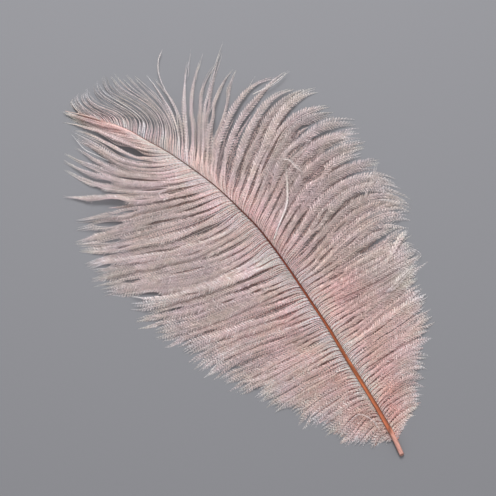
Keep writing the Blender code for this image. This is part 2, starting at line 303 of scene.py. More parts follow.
NEAR_SHAFT, THICKNESS, GATHERED, SPACING, NARROWING, LOWER_REACH = range(7, 13)
# How much pinker the barbs are along the shaft, and how light they are: station, share
LEFT_PINK = ((0, 0.56), (60, 0.42), (110, 0.16), (150, -0.04), (232, -0.06), (250, 0.10), (268, 0.50), (290, 0.80))
RIGHT_PINK = ((0, 0.62), (60, 0.44), (120, 0.18), (150, 0.0), (200, -0.10), (235, -0.25), (262, -0.26), (285, 0.15))
# The lightness rows are painted light near the quill and painted shade over the right vane's middle
LEFT_PAINTED_LIGHT_AND_SHADE = ((0, 1.20), (60, 1.18), (110, 1.12), (170, 1.04), (240, 1.03), (306, 1.03))
RIGHT_PAINTED_LIGHT_AND_SHADE = ((0, 1.18), (60, 1.10), (110, 1.00), (150, 0.89), (185, 0.90), (228, 0.98), (240, 0.92), (306, 0.90))
# How much the strands differ in lightness: station, share
LEFT_SPREAD = ((0, 0.11), (170, 0.10), (225, 0.06), (245, 0.12))
RIGHT_SPREAD = ((0, 0.10), (100, 0.07), (222, 0.08), (238, 0.28))
# How much darker the lower barbs are, a painted shade under the upper ones: station, share
LEFT_LOWER_PAINTED_SHADE = ((0, 0.0), (306, 0.0))
RIGHT_LOWER_PAINTED_SHADE = ((0, 0.0), (222, 0.0), (236, 0.35))
# How long the barbs' tapering ends are: station, length (mm)
LEFT_TAPER = ((0, 6), (60, 8), (110, 11), (190, 15), (215, 30), (306, 30))
RIGHT_TAPER = ((0, 6), (60, 8), (130, 12), (180, 18), (205, 40), (306, 40))
# How much wider a strand gets at its end, or narrower: station, share
END_SPREAD = ((0, 1.2), (150, 1.2), (190, -0.5), (306, -0.5))
# How far each barb's tip turns aside: station, distance (mm)
TIP_TURN = ((0, 0.8), (150, 0.8), (190, 0.35), (306, 0.35))
# Patches that are pinker, or less so: along, across, radius (mm), share
BLUSHES = (
    (34, -26.5, 6, 0.32),
    (24, -17, 6, 0.30),
    (30, 5, 6, 0.30),
    (60, -8, 7, 0.12),
    (110, -9, 9, 0.22),
    (112, 12, 10, 0.16),
    (100, -50, 15, 0.24),
    (98, -68, 9, -0.26),
    (80, -80, 9, -0.30),
    (120, -38, 8, -0.20),
    (153, -62, 7, 0.18),
    (170, -60, 7, 0.20),
    (165, -85, 10, 0.12),
)

FIRST_BARB = 9.0  # station of the first barb (mm)
LAST_BARB = 306.0
BARB_RADIUS = 0.17
BARB_POINTS = 28  # along one barb
POINT_POWER = 1.3  # over 1, a barb's points lie closer together near the shaft
LEAN = 0.75  # slope at which a barb first leans along the shaft, towards the feather's tip
LEAN_REACH = 4.5
LOCK_RELIEF = 1.6  # how much lower a lock's edges lie than its middle
STRAND_RELIEF = 1.5  # how much the heights of strands differ
STRAND_ROUNDING = 0.45  # how much lower the edges of a strand lie than its middle
LEAST_HEIGHT = 0.15
SHORTER = 6.5  # how much shorter than its neighbours a strand may be; half as much for one barb (mm)
CALM = 0.6  # how far the locks' heights are evened out near the quill
DRIFT = 0.17  # how far a strand strays sideways towards its end, for the number of its barbs
BARBULE_SPACING = 0.25
BARBULE_WIDTH = 0.22
LOWER_SPACING = 2.2  # between the lower barbs, for that between the upper ones
LOWER_DEPTH = 2.2  # how far the lower barbs lie below the upper ones
LOWER_FLUFF = 1.5  # length and width of their barbules, for those of the upper ones
# Painted light: the barbs beside the shaft are painted lighter, against the shade there
SHAFT_SIDE_PAINTED_LIGHT = np.array((0.19, 0.15, 0.18))  # how much lighter the barbs are beside the shaft: red, green, blue
# Painted highlight: the barbs are painted lighter than their barbules, more so near the shaft
BARB_PAINTED_HIGHLIGHT = 1.05  # how much lighter the barbs are than their barbules
ROOT_PAINTED_HIGHLIGHT = 1.20  # and near the shaft
FIRST_BARBULE = 0.8  # from the shaft's middle line
TUFT = 1.7  # length along a barb within which the barbules lean together
HATCH_SLOPE = 0.65  # how far along the strand a tuft moves on, for how far across it goes
BARE_TIP = 3.0  # length over which the barbules end before a barb's tip
INWARD = 0.7  # how much shorter the barbules are that point to the middle of their strand
CLUMPING = 0.9  # how far the tips of a tuft's barbules come together, 0 to 1

# Painted shade: a barbule is painted darker where it leaves its barb, under it, and at its drooping tip
BARBULE_ROOT_PAINTED_SHADE = 0.86  # how dark a barbule is where it leaves its barb, for its middle
BARBULE_TIP_PAINTED_SHADE = 0.84  # and at its tip

PALE = np.array((0.84, 0.745, 0.73))
PINK = np.array((0.86, 0.545, 0.49))
FROST = np.array((0.94, 0.92, 0.90))
# Painted shade: the barbules that lie below others are painted darker, most near the shaft
UNDER_PAINTED_SHADE = np.array((0.92, 0.85, 0.835))  # of the barbules below, for those above
DEEP_PAINTED_SHADE = np.array((0.80, 0.72, 0.70))  # near the shaft


def smooth_curve(knots, values, places):
    """The smooth curve through values at increasing knots, read at an array of places."""
    slopes = np.gradient(values, knots, axis=0)
    places = np.clip(places, knots[0], knots[-1])
    i = np.clip(np.searchsorted(knots, places, side="right") - 1, 0, len(knots) - 2)
    step = (knots[i + 1] - knots[i])[..., None]
    t = (places - knots[i])[..., None] / step
    start = values[i] * (1 + 2 * t) * (1 - t) ** 2 + slopes[i] * step * t * (1 - t) ** 2
    end = values[i + 1] * t * t * (3 - 2 * t) + slopes[i + 1] * step * t * t * (t - 1)
    return start + end


def smoothstep(low, high, x):
    t = np.clip((x - low) / (high - low), 0, 1)
    return t * t * (3 - 2 * t)


def graph(rows, x):
    """A value read from (place, value) rows."""
    return np.interp(x, [row[0] for row in rows], [row[1] for row in rows])


def unit(v):
    return v / np.maximum(np.linalg.norm(v, axis=-1, keepdims=True), 1e-9)


SHAFT_ROWS = np.array(SHAFT, float)
SHAFT_STATIONS = np.concatenate([[0.0], np.cumsum(np.hypot(*np.diff(SHAFT_ROWS[:, :2], axis=0).T))])


def length_of(paths):
    """How long each of the paths (paths, points, n) is."""
    return np.linalg.norm(np.diff(paths, axis=1), axis=2).sum(axis=1)


def on_the_shaft(stations):
    """(middle line's points, radii, directions) at an array of stations."""
    rows = smooth_curve(SHAFT_STATIONS, SHAFT_ROWS, stations)
    ahead = smooth_curve(SHAFT_STATIONS, SHAFT_ROWS, stations + 0.5)
    behind = smooth_curve(SHAFT_STATIONS, SHAFT_ROWS, stations - 0.5)
    return rows[..., :3], rows[..., 3], unit((ahead - behind)[..., :3])


def habit(habits, column, stations):
    return np.interp(stations, [row[0] for row in habits], [row[column] for row in habits])


class Vane:
    """One side of the feather: its table of locks, sorted from the quill to the tip, and its barbs' habits."""

    def __init__(self, locks, habits, gaps, pink, tone, spread, depth, taper):
        rows = locks[::-1]
        self.stations = np.array([row[0] for row in rows], float)
        self.points = np.array([row[1:] for row in rows], float)
        self.habits = habits
        self.gaps = gaps
        self.pink = pink
        self.tone = tone
        self.spread = spread
        self.depth = depth
        self.taper = taper
        turns = np.arange(len(locks))[::-1] % len(TIP_TOPS)
        self.tip_tops = np.array(TIP_TOPS)[turns]
        self.crests = np.array(CRESTS)[turns]

    def paths(self, stations, shares):
        """In plan, barbs spread evenly between the locks: (barbs, shares, 2)."""
        known = np.empty((len(stations), 4, 2))
        known[:, 0] = on_the_shaft(stations)[0][:, :2]
        for i in range(3):
            for axis in range(2):
                known[:, i + 1, axis] = np.interp(stations, self.stations, self.points[:, i, axis])
        places = (0.0, 1 / 3, 2 / 3, 1.0)
        path = np.zeros(shares.shape + (2,))
        for i in range(4):
            weight = np.ones_like(shares)
            for j in range(4):
                if j != i:
                    weight = weight * (shares - places[j]) / (places[i] - places[j])
            path += weight[..., None] * known[:, i, None, :]
        return path

    def owners(self, stations):
        """The number, in this vane, of the lock that each barb belongs to, and how far off its middle it stands."""
        borders = (self.stations[1:] + self.stations[:-1]) / 2
        own = np.searchsorted(borders, stations)
        low = np.concatenate([[self.stations[0] - 4], borders])[own]
        high = np.concatenate([borders, [self.stations[-1] + 4]])[own]
        return own, np.clip((stations - (low + high) / 2) / ((high - low) / 2), -1.3, 1.3)


def barb_stations(habits, sparse, rng):
    """Where the barbs leave the shaft, as far apart as the habits say, times a factor."""
    step = 0.1
    along = np.arange(FIRST_BARB, LAST_BARB, step)
    passed = np.cumsum(step / (habit(habits, SPACING, along) * sparse))
    stations = np.interp(np.arange(int(passed[-1])) + 0.5, passed, along)
    return stations + rng.uniform(-0.25, 0.25, len(stations)) * habit(habits, SPACING, stations)


def group_in_strands(rng, stations, habits, lower):
    """Neighbouring barbs keep together: the number of each barb's strand, and its place across it from -1 to 1."""
    if lower:
        return np.arange(len(stations)), np.zeros(len(stations))
    strand = np.zeros(len(stations), int)
    place = np.zeros(len(stations))
    first = number = 0
    while first < len(stations):
        size = max(1, round(habit(habits, IN_STRAND, stations[first]) + rng.uniform(-1, 1)))
        last = min(first + size, len(stations))
        strand[first:last] = number
        if last - first > 1:
            place[first:last] = np.linspace(-1, 1, last - first)
        first = last
        number += 1
    return strand, place


def sideways(plan):
    """Unit vectors to the left of paths in plan."""
    ahead = unit(np.gradient(plan, axis=1))
    return np.stack([-ahead[..., 1], ahead[..., 0]], axis=2)


def beside_gap(plan, points):
    """For points in plan: how far along a gap's line the nearest place is (0 to 1), and how far to its left they lie."""
    rows = np.array(points, float)
    line = smooth_curve(np.arange(len(rows)), rows, np.linspace(0, len(rows) - 1, 25))
    ahead = unit(np.gradient(line, axis=0))
    off = plan[..., None, :] - line
    nearest = np.argmin(np.sum(off**2, axis=-1), axis=-1)
    off = np.take_along_axis(off, nearest[..., None, None], axis=-2)[..., 0, :]
    way = ahead[nearest]
    return nearest / 24, way[..., 0] * off[..., 1] - way[..., 1] * off[..., 0]


def part_at_gaps(plan, gaps):
    """Push the barbs aside at the gaps. Gives the new plan, and how far barbules may reach to the left and right, the
    upper ones and then those below."""
    room = np.full(plan.shape[:2] + (4,), 99.0)
    for half, floor_shows, points in gaps:
        half = half if floor_shows else half * 0.9
        run, left = beside_gap(plan, points)
        inside = np.sin(np.pi * np.clip(run, 0, 1)) ** 1.2
        middle = np.argmin(np.abs(run - 0.5) + np.abs(left) / 50, axis=1)
        side = np.sign(left[np.arange(len(plan)), middle])[:, None]
        off = side * left
        near = (off < GAP_REACH) & (off > -2 * GAP_REACH)
        width = (half + 0.3) * inside
        target = np.maximum(off, 0) * (1 - width / GAP_REACH) + width
        moved = np.where(near, np.minimum(target - off, 2 + 1.5 * half) * inside, 0.0)
        aside = sideways(plan)
        rows = np.array(points, float)
        across = rows[-1] - rows[0]
        facing = np.sign(aside[..., 0] * -across[1] + aside[..., 1] * across[0])
        plan = plan + aside * (moved * side * facing)[..., None]
        reach = np.where(near & (inside > 0.05), np.maximum(off + moved - half * inside, 0.1), 99.0)
        to_left = side * facing < 0
        for layer in range(2 if floor_shows else 1):
            room[..., 2 * layer] = np.where(to_left, np.minimum(room[..., 2 * layer], reach), room[..., 2 * layer])
            room[..., 2 * layer + 1] = np.where(to_left, room[..., 2 * layer + 1], np.minimum(room[..., 2 * layer + 1], reach))
    return plan, room


def vane_barbs(vane, lower, rng):
    """Points along every upper or lower barb of a vane (barbs, points, 3), with what its colour and barbules need."""
    stations = barb_stations(vane.habits, LOWER_SPACING if lower else 1.0, rng)
    count = len(stations)
    strand, place = group_in_strands(rng, stations, vane.habits, lower)
    strands = strand[-1] + 1
    middles = np.array([stations[strand == k].mean() for k in range(strands)])
    own, off = vane.owners(middles)

    def of_strand(values):
        return values[strand][:, None]

    reach = length_of(vane.paths(middles, np.linspace(0, 1, 4) * np.ones((strands, 1))))
    length = 1.05 - 0.06 * off**2 - np.minimum(0.14, SHORTER / reach) * rng.random(strands) ** 2
    ends = length[strand] * (1 - np.minimum(0.14, SHORTER / 2 / reach)[strand] * rng.random(count))
    if lower:
        ends = ends * habit(vane.habits, LOWER_REACH, stations)
    shares = np.linspace(0, 1, BARB_POINTS)[None, :] ** POINT_POWER * ends[:, None]

    plan = vane.paths(stations, shares)
    core = vane.paths(middles[strand], shares)
    lock = vane.paths(vane.stations[own][strand], shares)
    closing = of_strand(habit(vane.habits, CLOSING, middles) * rng.uniform(0.75, 1.1, strands)) * (0.4 if lower else 1)
    core += (lock - core) * (closing * smoothstep(0.70 - 0.55 * closing, 1.1 - 0.3 * closing, shares))[..., None]

    gone = np.concatenate([np.zeros((count, 1)), np.cumsum(np.linalg.norm(np.diff(core, axis=1), axis=2), axis=1)], 1)
    wave = 0.55 * np.sin(gone / of_strand(rng.uniform(7, 13, strands)) + of_strand(rng.uniform(0, 6.3, strands)))
    curl = of_strand(habit(vane.habits, CURL, middles) * rng.normal(0, 1, strands)) * smoothstep(0.55, 1.1, shares) ** 2
    drift = DRIFT * habit(vane.habits, IN_STRAND, middles) * rng.normal(0, 1, strands)
    drift = of_strand(drift) * smoothstep(0.3, 1.0, shares)
    width = habit(vane.habits, HALF_WIDTH, stations)[:, None] * place[:, None]
    at_end = graph(END_SPREAD, stations)[:, None] * smoothstep(0.75, 1.0, shares)
    width = width * (1 - 0.20 * smoothstep(0.3, 0.7, shares) + at_end)
    own_wave = 0.22 * np.sin(gone / rng.uniform(3, 7, (count, 1)) + rng.uniform(0, 6.3, (count, 1)))
    tip_turn = graph(TIP_TURN, stations)[:, None] * rng.normal(0, 1, (count, 1)) * smoothstep(0.7, 1.0, shares)
    aside = sideways(core)
    turned = np.sign(np.sum(aside[:, :1] * on_the_shaft(stations)[2][:, None, :2], axis=2))
    hook = habit(vane.habits, HOOK, stations)[:, None] * turned * smoothstep(0.7, 1.05, shares) ** 2
    offset = -width * turned - hook + drift + (wave + curl) * smoothstep(0.1, 0.8, shares) + own_wave + tip_turn
    core += aside * (offset)[..., None]
    gathered = habit(vane.habits, GATHERED, stations)[:, None]
    plan += (core - plan) * smoothstep(0.03, 1.0, shares / gathered)[..., None]
    plan += on_the_shaft(stations)[2][:, None, :2] * (LEAN * gone * np.exp(-gone / LEAN_REACH))[..., None]

    plan, room = part_at_gaps(plan, [row for row in vane.gaps if row[1] or not lower])

    root, radius, _ = on_the_shaft(stations)
    root_top = (root[:, 2] - 0.1 * radius)[:, None]
    calm = CALM * (1 - smoothstep(60, 130, stations))
    tip_top = np.interp(stations, vane.stations, vane.tip_tops)
    tip_top = (tip_top + (np.mean(TIP_TOPS) - tip_top) * calm)[:, None]
    crest = np.interp(stations, vane.stations, vane.crests)
    crest = (crest + (np.mean(CRESTS) - crest) * calm)[:, None]
    height = root_top + (tip_top - root_top) * shares + crest * 4 * shares * (1 - shares)
    risen = smoothstep(0.04, 0.3, shares)
    sunk = LOCK_RELIEF * closing * of_strand(off**2)
    sunk = sunk + STRAND_RELIEF * of_strand(rng.random(strands)) + STRAND_ROUNDING * place[:, None] ** 2
    sunk = sunk + rng.uniform(0, 0.3, (count, 1))
    if lower:
        sunk = sunk + LOWER_DEPTH
    height = np.maximum(height - sunk * risen, LEAST_HEIGHT + 0.3 * (1 - shares))
    return {
        "points": np.concatenate([plan, height[..., None]], axis=2),
        "shares": shares,
        "ends": shares / ends[:, None],
        "stations": stations,
        "strand": strand,
        "length": habit(vane.habits, BARBULE_LENGTH, stations) * (LOWER_FLUFF if lower else 1),
        "near": np.full(count, 0.7) if lower else habit(vane.habits, NEAR_SHAFT, stations),
        "narrowing": habit(vane.habits, NARROWING, stations),
        "taper": graph(vane.taper, stations),
        "left": (1 - shares / ends[:, None]) * length_of(plan)[:, None],
        "beside": -turned[:, 0] * place,
        "across": habit(vane.habits, HALF_WIDTH, stations),
        "pink": graph(vane.pink, stations),
        # tone carries the painted light and shade along the vane
        "tone": graph(vane.tone, stations),
        "spread": graph(vane.spread, stations),
        "depth": graph(vane.depth, stations),
        "reach": reach[strand],
        "lower": np.full(count, lower),
        "white": np.zeros(count),
        "thickness": habit(vane.habits, THICKNESS, stations),
        "room": room,
    }


def loose_barbs(row, number, rng):
    """The barbs of one loose strand, with the same facts as those of a vane."""
    count, half_width, barbule_length, white, thickness, points = row
    rows = np.array(points, float)
    ends = np.linspace(0, 1, BARB_POINTS)
    line = smooth_curve(np.arange(len(rows)), rows, ends * (len(rows) - 1))
    places = np.linspace(-1, 1, count) if count > 1 else np.zeros(1)
    aside = sideways(line[None, :, :2])
    spread = half_width * places[:, None] * (0.4 + 0.6 * ends)
    spread = spread + 0.15 * np.sin(ends * 9 + rng.uniform(0, 6.3, (count, 1)))
    plan = line[:, :2] + aside * spread[..., None]
    height = np.broadcast_to(line[:, 2], spread.shape) + rng.uniform(-0.2, 0.2, (count, 1))
    longest = 1 - 0.12 * rng.random(count)
    shares = (0.35 + 0.65 * ends) * np.ones((count, 1))
    return {
        "points": np.concatenate([plan, np.maximum(height, LEAST_HEIGHT)[..., None]], axis=2),
        "shares": shares,
        "ends": np.clip(ends / longest[:, None], 0, 1),
        "stations": np.full(count, 150.0),
        "strand": np.zeros(count, int),
        "length": np.full(count, barbule_length),
        "near": np.ones(count),
        "narrowing": np.full(count, 0.7),
        "taper": np.full(count, 10.0),
        "left": (1 - ends) * length_of(plan)[:, None],
        "beside": places,
        "across": np.full(count, half_width),
        "pink": np.zeros(count),
        "tone": np.ones(count),
        "spread": np.full(count, 0.06),
        "depth": np.zeros(count),
        "reach": length_of(plan),
        "lower": np.full(count, False),
        "white": np.full(count, white),
        "thickness": np.full(count, thickness),
        "room": np.full((count, BARB_POINTS, 4), 99.0),
    }


def barb_colours(barbs, rng):
    """A base colour at every point of every barb."""
    count = len(barbs["stations"])
    share = barbs["shares"]
    pink = 0.24 + 0.18 * (1 - smoothstep(0.03, 0.20, share)) - 0.16 * smoothstep(0.0, 0.6, share)
    at_ends = 1 - smoothstep(35, 55, barbs["stations"]) + smoothstep(235, 255, barbs["stations"])
    pink = pink + barbs["pink"][:, None] * (1 - 0.65 * share) * np.maximum(smoothstep(0.0, 0.25, share), at_ends[:, None])
    for along, across, radius, more in BLUSHES:
        off = barbs["points"][..., :2] - (along, across)
        pink = pink + more * np.exp(-np.sum(off**2, axis=2) / radius**2)
    pink = np.clip(pink + rng.uniform(-0.05, 0.05, (count, 1)), -0.1, 1)
    colour = PALE + (PINK - PALE) * pink[..., None]
    # Painted light on the barbs beside the shaft
    shaft_side_light_paint = 1 + SHAFT_SIDE_PAINTED_LIGHT * (1 - smoothstep(0.05, 0.25, share))[..., None]
    # Painted light and shade along the vane, from its tone
    colour = colour * barbs["tone"][:, None, None] * shaft_side_light_paint
    left = barbs["left"]
    frost = 0.3 * (1 - smoothstep(4, 24, left)) + 0.65 * (1 - smoothstep(0, 8, left))
    frost = np.maximum(frost * ~barbs["lower"][:, None], barbs["white"][:, None])
    colour = colour + (FROST - colour) * frost[..., None]
    strand_tone = 1 + barbs["spread"] * rng.uniform(-1, 1, barbs["strand"][-1] + 1)[barbs["strand"]]
    tint = 1 + rng.normal(0, 0.008, (count, 1, 3))
    return colour * strand_tone[:, None, None] * tint * rng.uniform(0.94, 1.06, (count, 1, 1))


def tubes(points, radii, colours):
    """Three-sided closed tubes along (strands, points, 3): vertices, triangles and colours."""
    count, steps, _ = points.shape
    ahead = unit(np.gradient(points, axis=1))
    aside = unit(np.cross((0.0, 0.0, 1.0), ahead))
    up = np.cross(ahead, aside)
    rings = []
    for turn in (90, 210, 330):
        angle = math.radians(turn)
        rings.append(points + (aside * math.cos(angle) + up * math.sin(angle)) * radii[..., None])
    vertices = np.stack(rings, axis=2).reshape(-1, 3)
    base = (np.arange(count)[:, None] * steps + np.arange(steps - 1)[None, :]).ravel() * 3
    faces = []
    for side in range(3):
        a, b = base + side, base + (side + 1) % 3
        faces += [np.stack([a, b, b + 3], axis=1), np.stack([a, b + 3, a + 3], axis=1)]
    first = np.arange(count) * steps * 3
    last = first + (steps - 1) * 3
    faces += [np.stack([first + 2, first + 1, first], axis=1), np.stack([last, last + 1, last + 2], axis=1)]
    return vertices, np.concatenate(faces), np.repeat(colours.reshape(-1, 3), 3, axis=0)


def read_along(values, places):
    """Values (strands, points, n) read at fractional point numbers: (which strand, place on it)."""
    strand, place = places
    i = np.clip(place.astype(int), 0, values.shape[1] - 2)
    t = (place - i)[:, None]
    return values[strand, i] * (1 - t) + values[strand, i + 1] * t


def barbules(barbs, colours, rng):
    """Fine barbules on both sides of every barb, each a narrow kite that bends down, in tufts that lean together."""
    points = barbs["points"]
    steps = points.shape[1]
    total = length_of(points)
    lower = barbs["lower"]
    counts = np.maximum(((total - FIRST_BARBULE) / (BARBULE_SPACING * (1 + 0.4 * lower))).astype(int), 1) * 2
    strand = np.repeat(np.arange(len(points)), counts)
    order = np.arange(len(strand)) - np.repeat(np.cumsum(counts) - counts, counts)
    side = order % 2
    start = (FIRST_BARBULE / total)[strand]
    gone = start + (0.995 - start) * np.clip((order + rng.uniform(0, 1.6, len(strand))) / counts[strand], 0, 1)
    group = (barbs["strand"] - barbs["strand"][0])[strand]
    phase = rng.random((group[-1] + 1, 2))[group, side] + 0.06 * rng.random((len(points), 2))[strand, side]
    where = (strand, gone ** (1 / POINT_POWER) * (steps - 1))
    share = read_along(barbs["shares"][..., None], where)
    beside = barbs["beside"][strand] * np.where(side == 0, 1.0, -1.0)
    run = share[:, 0] * barbs["reach"][strand] - beside * barbs["across"][strand] * HATCH_SLOPE
    run = run / TUFT + phase + 2
    tufts = rng.normal(0, 1, (group[-1] + 1, int(1.1 * barbs["reach"].max() / TUFT) + 6, 2, 4))
    tuft_length, tuft_angle, tuft_droop, tuft_shade = np.moveaxis(tufts[group, run.astype(int), side], 1, 0)[..., None]
    off_tuft = (run % 1 - 0.5)[:, None]
    base = read_along(points, where) - (0, 0, 0.6 * BARB_RADIUS)
    ahead = unit(read_along(np.gradient(points, axis=1), where))
    colour = read_along(colours, where)
    hand = np.where(side == 0, 1.0, -1.0)[:, None]
    aside = unit(np.cross((0.0, 0.0, 1.0), ahead)) * hand
    up = np.cross(ahead, aside) * hand

    n = len(strand)
    below = lower[strand][:, None]
    under = (rng.random((n, 1)) < 0.15) | below
    near = barbs["near"][strand][:, None]
    near = np.where(under, np.maximum(near, 0.9), near)
    length = barbs["length"][strand][:, None] * (near + (1 - near) * smoothstep(0.03, 0.22, share))
    narrowing = barbs["narrowing"][strand][:, None]
    left = read_along(barbs["left"][..., None], where)
    tapered = 1 - smoothstep(0, barbs["taper"][strand][:, None], left)
    length = length * (1 - narrowing * tapered) * (1 + (0.12 + 0.13 * tapered) * rng.uniform(-2, 1, (n, 1)))
    length = length * (0.3 + 0.7 * smoothstep(0.0, BARE_TIP, left))
    length = length * (1 - INWARD * np.maximum(-beside, 0)[:, None])
    length = length * (1 + 0.06 * tuft_length) * np.where(below, 1.0, 1 + 0.4 * under)
    room = read_along(barbs["room"], where)
    room = np.where(under, np.where(side == 0, room[:, 2], room[:, 3])[:, None], np.where(side == 0, room[:, 0], room[:, 1])[:, None])
    length = np.minimum(length, room / 0.7)
    angle = np.radians(60 + (5 + 8 * tapered) * rng.normal(0, 1, (n, 1)) - 18 * tapered + 3 * tuft_angle)
    droop = np.radians(rng.normal(-8, 7, (n, 1)) + 6 * tuft_droop - 26 * under)
    sag = droop - np.radians(rng.normal(30, 8, (n, 1)))
    bend = angle - np.radians(rng.normal(12, 5, (n, 1)))
    first_way = ahead * np.cos(angle) + (aside * np.cos(droop) + up * np.sin(droop)) * np.sin(angle)
    last_way = ahead * np.cos(bend) + (aside * np.cos(sag) + up * np.sin(sag)) * np.sin(bend)
    together = ahead * off_tuft * TUFT * CLUMPING * np.minimum(length, 1)
    middle = base + first_way * length * 0.5 - together * 0.5
    tip = middle + last_way * length * 0.5 - together * 0.5
    roll = np.radians(rng.normal(0, 28, (n, 1)))
    flat = unit(np.cross(first_way, up))
    across = flat * np.cos(roll) + np.cross(first_way, flat) * np.sin(roll)
    half = across * BARBULE_WIDTH / 2 * np.where(below, LOWER_FLUFF, 1 - 0.55 * tapered)
    vertices = np.stack([base, middle - half, middle + half, tip], axis=1)
    vertices[..., 2] = np.maximum(vertices[..., 2], 0.02)
    four = np.arange(n)[:, None] * 4
    faces = np.concatenate([four + (0, 1, 2), four + (2, 1, 3)])
    # Painted shade: each tuft is darker towards its edges, in the gaps between tufts
    shade = colour * rng.uniform(0.92, 1.08, (n, 1)) * (1 + 0.09 * tuft_shade) * (1.15 - 0.52 * (2 * off_tuft) ** 2)
    # Painted shade on the barbules that lie below others, darkest near the shaft
    shade = shade * np.where(under, DEEP_PAINTED_SHADE + (UNDER_PAINTED_SHADE - DEEP_PAINTED_SHADE) * smoothstep(0.08, 0.4, share), 1.0)
    # More painted shade on the lower barbs
    shade = shade * (1 - barbs["depth"][strand][:, None] * below)
    # Painted shade at a barbule's root under its barb and at its drooping tip
    tip_painted_shade = BARBULE_TIP_PAINTED_SHADE + (1 - BARBULE_TIP_PAINTED_SHADE) * tapered
    corners = np.stack([shade * BARBULE_ROOT_PAINTED_SHADE, shade, shade, shade * tip_painted_shade], axis=1)
    return vertices.reshape(-1, 3), faces, corners.reshape(-1, 3)


def joined(parts):
    """Several (vertices, faces, colours) as one."""
    vertices = np.concatenate([part[0] for part in parts])
    starts = np.cumsum([0] + [len(part[0]) for part in parts[:-1]])
    faces = np.concatenate([part[1] + start for part, start in zip(parts, starts)])
    return vertices, faces, np.concatenate([part[2] for part in parts])


def new_piece(name, made, material):
    """A mesh object from (vertices in mm, triangles, colours), riding on the feather's body in place of its solid."""
    vertices, faces, colours = made
    mesh = bpy.data.meshes.new(name)
    mesh.vertices.add(len(vertices))
    placed = (vertices + (QUILL_END[0], QUILL_END[1], 0.0)) * MM
    mesh.vertices.foreach_set("co", placed.astype(np.float32).ravel())
    mesh.loops.add(faces.size)
    mesh.loops.foreach_set("vertex_index", faces.astype(np.int32).ravel())
    mesh.polygons.add(len(faces))
    mesh.polygons.foreach_set("loop_start", np.arange(0, faces.size, 3, dtype=np.int32))
    mesh.update(calc_edges=True)
    tone = mesh.color_attributes.new("tone", "FLOAT_COLOR", "POINT")
    rgba = np.concatenate([np.clip(colours, 0, 1), np.ones((len(colours), 1))], axis=1)
    tone.data.foreach_set("color", rgba.astype(np.float32).ravel())
    mesh.materials.append(material)
    piece = bpy.data.objects.new(name, mesh)
    bpy.context.scene.collection.objects.link(piece)
    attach(piece, BODY)
    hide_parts(CAD_NODE)
    return piece


def new_barb_material():
    made = bpy.data.materials.new("blush barbs")
    made.use_nodes = True
    nodes, links = made.node_tree.nodes, made.node_tree.links
    shader = nodes["Principled BSDF"]
    shader.inputs["Roughness"].default_value = 0.62
    shader.inputs["Specular IOR Level"].default_value = 0.35
    tone = nodes.new("ShaderNodeAttribute")
    tone.attribute_name = "tone"
    place = nodes.new("ShaderNodeTexCoord")
    noise = nodes.new("ShaderNodeTexNoise")
    noise.inputs["Scale"].default_value = 45.0
    noise.inputs["Detail"].default_value = 3.0
    links.new(place.outputs["Object"], noise.inputs["Vector"])
    ramp = nodes.new("ShaderNodeMapRange")
    ramp.inputs["From Min"].default_value = 0.3
    ramp.inputs["From Max"].default_value = 0.7
    ramp.inputs["To Min"].default_value = 0.90
    ramp.inputs["To Max"].default_value = 1.06
    links.new(noise.outputs["Fac"], ramp.inputs["Value"])
    grain = nodes.new("ShaderNodeTexNoise")
    grain.inputs["Scale"].default_value = 750.0
    grain.inputs["Detail"].default_value = 1.0
    links.new(place.outputs["Object"], grain.inputs["Vector"])
    speckle = nodes.new("ShaderNodeMapRange")
    speckle.inputs["From Min"].default_value = 0.3
    speckle.inputs["From Max"].default_value = 0.7
    speckle.inputs["To Min"].default_value = 0.90
    speckle.inputs["To Max"].default_value = 1.10
    links.new(grain.outputs["Fac"], speckle.inputs["Value"])
    both_tones = nodes.new("ShaderNodeMath")
    both_tones.operation = "MULTIPLY"
    links.new(ramp.outputs["Result"], both_tones.inputs[0])
    links.new(speckle.outputs["Result"], both_tones.inputs[1])
    patches = nodes.new("ShaderNodeTexNoise")
    patches.inputs["Scale"].default_value = 85.0
    patches.inputs["Detail"].default_value = 2.0
    links.new(place.outputs["Object"], patches.inputs["Vector"])
    hues = nodes.new("ShaderNodeValToRGB")
    hues.color_ramp.elements[0].position = 0.36
    hues.color_ramp.elements[0].color = (1.0, 0.99, 0.96, 1)
    hues.color_ramp.elements[1].position = 0.64
    hues.color_ramp.elements[1].color = (0.99, 0.97, 1.0, 1)
    links.new(patches.outputs["Fac"], hues.inputs["Fac"])
    tinted = nodes.new("ShaderNodeVectorMath")
    tinted.operation = "MULTIPLY"
    links.new(tone.outputs["Color"], tinted.inputs[0])
    links.new(hues.outputs["Color"], tinted.inputs[1])
    mix = nodes.new("ShaderNodeVectorMath")
    mix.operation = "SCALE"
    links.new(tinted.outputs["Vector"], mix.inputs[0])
    links.new(both_tones.outputs["Value"], mix.inputs["Scale"])
    links.new(mix.outputs["Vector"], shader.inputs["Base Color"])
    thin = nodes.new("ShaderNodeBsdfTranslucent")
    links.new(mix.outputs["Vector"], thin.inputs["Color"])
    both = nodes.new("ShaderNodeMixShader")
    both.inputs["Fac"].default_value = 0.3
    links.new(shader.outputs["BSDF"], both.inputs[1])
    links.new(thin.outputs["BSDF"], both.inputs[2])
    links.new(both.outputs["Shader"], nodes["Material Output"].inputs["Surface"])
    return made


# The shaft's colour along it: station, colour
SHAFT_COLOURS = (
    (0, (0.46, 0.24, 0.20)),
    (14, (0.48, 0.24, 0.19)),
    (20, (0.40, 0.118, 0.060)),
    (50, (0.38, 0.105, 0.040)),
    (70, (0.42, 0.118, 0.045)),
    (90, (0.30, 0.072, 0.026)),
    (115, (0.24, 0.050, 0.018)),
    (150, (0.13, 0.022, 0.009)),
    (200, (0.13, 0.038, 0.026)),
    (240, (0.15, 0.06, 0.045)),
    (265, (0.28, 0.12, 0.09)),
    (306, (0.62, 0.46, 0.40)),
)
